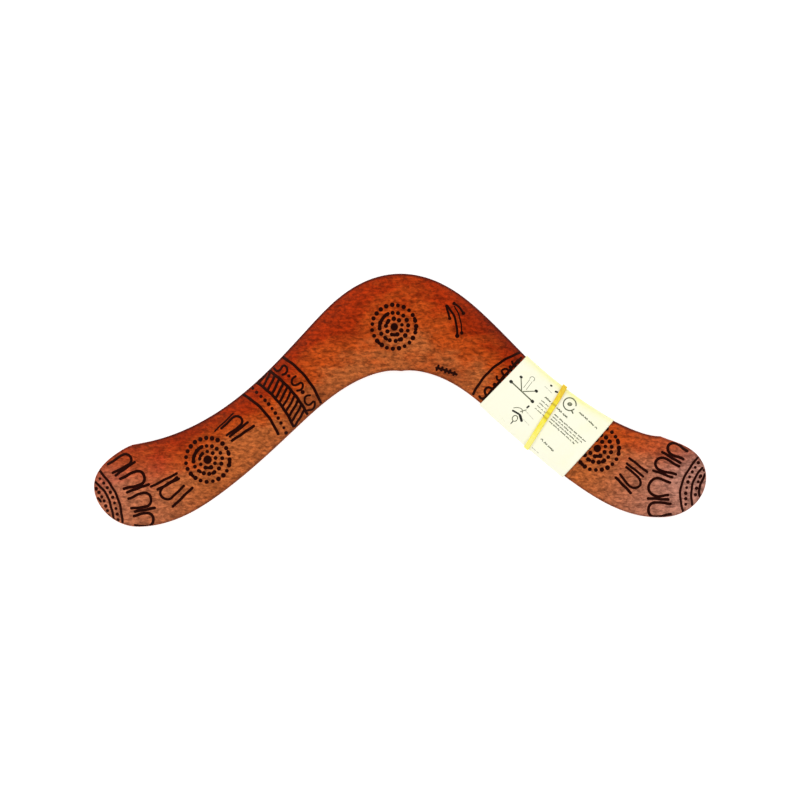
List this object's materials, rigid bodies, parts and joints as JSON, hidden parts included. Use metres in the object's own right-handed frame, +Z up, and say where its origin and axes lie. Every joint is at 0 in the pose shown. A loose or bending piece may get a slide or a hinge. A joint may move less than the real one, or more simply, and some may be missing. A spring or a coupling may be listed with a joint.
{
  "type": "boomerang",
  "caption": "Curved wooden throwing stick with a flat underside and a rounded, burnt-patterned top, carrying a paper leaflet held round one arm by a rubber band.",
  "frame": {"origin": "below the middle of the outline's bounding box, level with the underside of the rubber band, the lowest surface", "axes": "+X along the span from the left tip to the right tip, +Y towards the elbow, +Z up, out of the decorated face"},
  "size_m": [0.4066, 0.1652, 0.0103],
  "materials": {
    "stained_wood": "satin",
    "printed_paper": "matte",
    "yellow_rubber": "matte"
  },
  "bodies": {
    "blade": {"blade": "stained_wood"},
    "leaflet": {"leaflet": "printed_paper"},
    "rubber_band": {"rubber_band": "yellow_rubber"}
  },
  "joints": [
    {"name": "leaflet_slide", "type": "slide", "parent": "blade", "child": "leaflet", "axis": [0.766, -0.6428, 0], "range_m": [-0.006, 0.001]},
    {"name": "band_slide", "type": "slide", "parent": "leaflet", "child": "rubber_band", "axis": [0.766, -0.6428, 0], "range_m": [-0.024, 0.005]}
  ]
}
